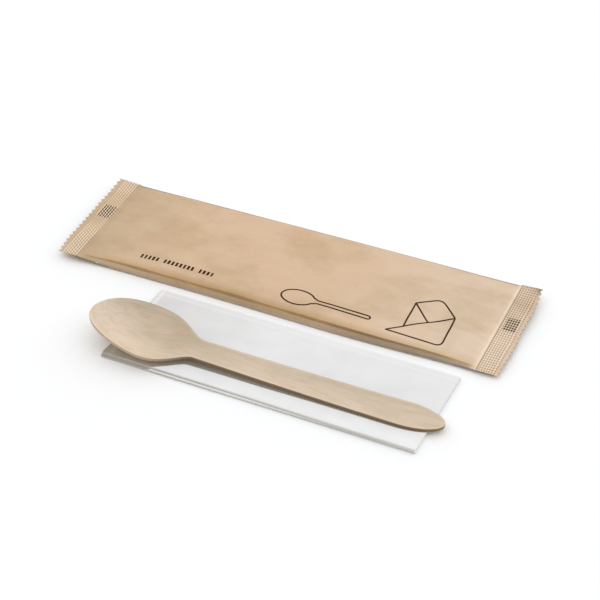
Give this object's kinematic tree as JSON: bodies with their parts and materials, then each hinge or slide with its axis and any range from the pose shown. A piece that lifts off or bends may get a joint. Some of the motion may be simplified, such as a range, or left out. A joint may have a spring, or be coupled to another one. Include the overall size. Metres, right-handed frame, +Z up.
{
  "type": "wooden cutlery pack",
  "caption": "Flat sealed kraft-paper pouch with crimped zigzag ends, lying beside a pressed wooden spoon on a folded white paper napkin, as handed out with takeaway food.",
  "frame": {"origin": "on the table, under the centre of the outline of the whole pack", "axes": "+X along the pouch, from the spoon's bowl towards its handle's end; +Y from the spoon towards the pouch; +Z up"},
  "size_m": [0.208, 0.1166, 0.0118],
  "materials": {
    "kraft_paper": "matte",
    "birch_wood": "matte",
    "white_tissue": "matte",
    "brown_print": "matte"
  },
  "bodies": {
    "root": {"pouch": "kraft_paper", "spoon": "birch_wood", "napkin": "white_tissue"}
  },
  "joints": []
}
